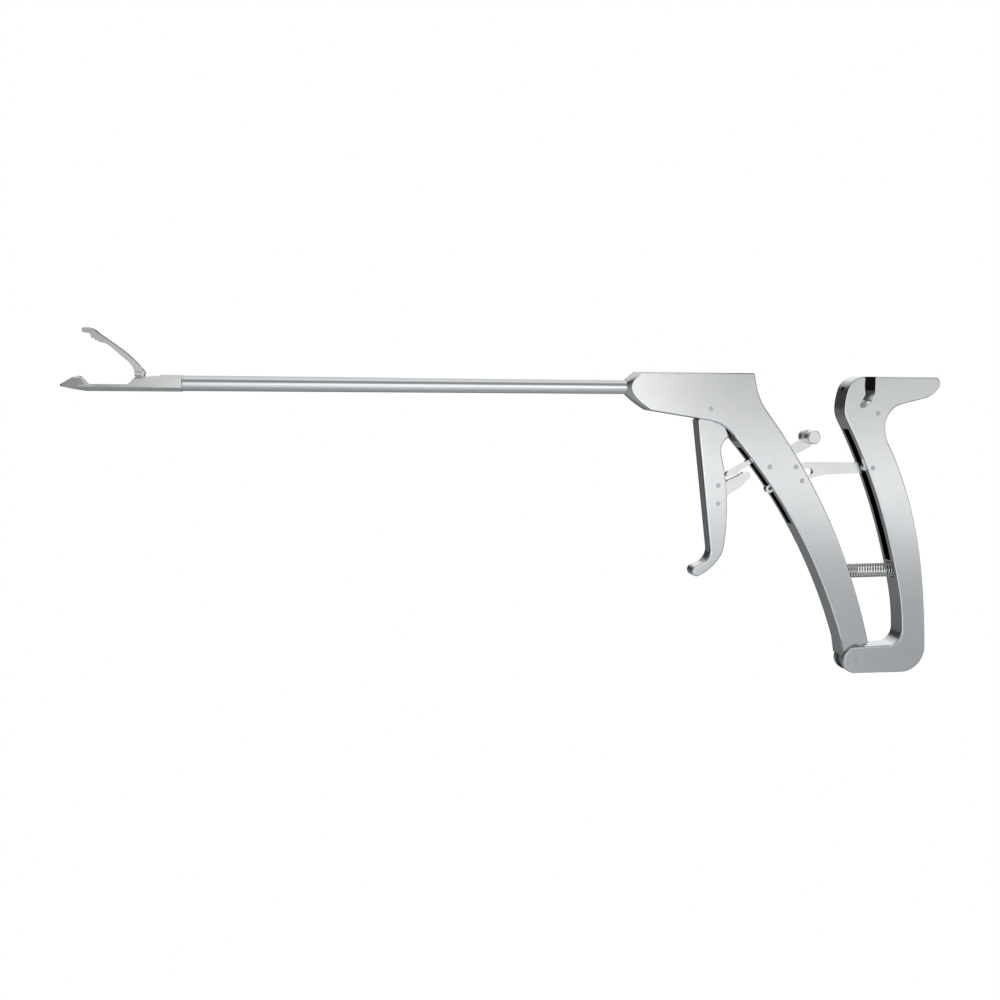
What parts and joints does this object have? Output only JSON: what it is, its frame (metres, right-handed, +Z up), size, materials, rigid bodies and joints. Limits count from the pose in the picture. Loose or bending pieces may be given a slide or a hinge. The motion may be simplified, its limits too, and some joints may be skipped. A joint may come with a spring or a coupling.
{
  "type": "arthroscopic suture passer",
  "caption": "Slim-shafted suture passing grasper with a hinged jaw, ratcheted front trigger, release lever and sprung rear needle lever, all in satin steel",
  "frame": {"origin": "mouth of the needle port in the rear face of the body, on the shaft's axis", "axes": "X runs back along the shaft from the jaws to the rear lever, Y across the flat handle, Z up from the leg to the needle line"},
  "size_m": [0.2986, 0.0076, 0.1211],
  "materials": {
    "satin_steel": "satin, fine blasted faces with a polished bevel",
    "tube_steel": "bright drawn tube",
    "small_parts": "fine satin",
    "pin_steel": "ground flush",
    "spring_steel": "bright spring wire"
  },
  "bodies": {
    "grip_frame": {"grip_body": "satin_steel", "shaft_tube": "tube_steel", "needle_guide": "tube_steel", "needle_port": "small_parts", "guide_spacers": "tube_steel", "lower_jaw": "tube_steel", "jaw_pivot_pins": "pin_steel", "trigger_pin": "pin_steel", "release_pin": "pin_steel", "stop_plate": "small_parts", "stop_plate_rivets": "pin_steel", "stroke_stop_stud": "small_parts", "lever_pivot_pin": "pin_steel", "spring_guide": "small_parts", "return_spring": "spring_steel"},
    "jaw_unit": {"upper_jaw": "tube_steel"},
    "rod_unit": {"jaw_rod": "small_parts", "rod_front_pin": "pin_steel", "rod_drive_pin": "pin_steel"},
    "trigger_unit": {"trigger": "satin_steel", "ratchet_rack": "small_parts", "rack_rivets": "pin_steel"},
    "release_unit": {"release_lever": "small_parts", "thumb_knob": "small_parts"},
    "lever_unit": {"rear_lever": "satin_steel", "needle_seat": "small_parts", "needle_seat_pin": "pin_steel", "link_pin": "pin_steel", "link_spacer": "small_parts"},
    "link_unit": {"link_bar": "small_parts"}
  },
  "joints": [
    {"name": "trigger_squeeze", "type": "hinge", "parent": "grip_frame", "child": "trigger_unit", "pos_m": [-0.01716, 0, -0.00725], "axis": [0, -1, 0], "range_deg": [0, 7.6], "stiffness_Nm_per_rad": 0.3},
    {"name": "rod_slide", "type": "slide", "parent": "grip_frame", "child": "rod_unit", "axis": [-1, 0, 0], "range_m": [0, 0.00116]},
    {"name": "jaw_close", "type": "hinge", "parent": "grip_frame", "child": "jaw_unit", "pos_m": [-0.2032, 0, -0.0003], "axis": [0, -1, 0], "range_deg": [0, 35.79]},
    {"name": "release_press", "type": "hinge", "parent": "grip_frame", "child": "release_unit", "pos_m": [0.0056, 0, -0.02745], "axis": [0, 1, 0], "range_deg": [-4.2, 6], "stiffness_Nm_per_rad": 0.05},
    {"name": "lever_squeeze", "type": "hinge", "parent": "grip_frame", "child": "lever_unit", "pos_m": [0.043, 0, -0.099], "axis": [0, -1, 0], "range_deg": [0, 7.5], "stiffness_Nm_per_rad": 2, "deforming": ["return_spring"]},
    {"name": "link_swing", "type": "hinge", "parent": "lever_unit", "child": "link_unit", "pos_m": [0.04533, 0, -0.0281], "axis": [0, -1, 0], "range_deg": [-7.5, 0]}
  ],
  "couplings": [
    {"joint": "rod_slide", "follows": "trigger_squeeze", "m_per_rad": 0.0087629},
    {"joint": "jaw_close", "follows": "trigger_squeeze", "ratio": 4.7089},
    {"joint": "link_swing", "follows": "lever_squeeze", "ratio": -1}
  ]
}
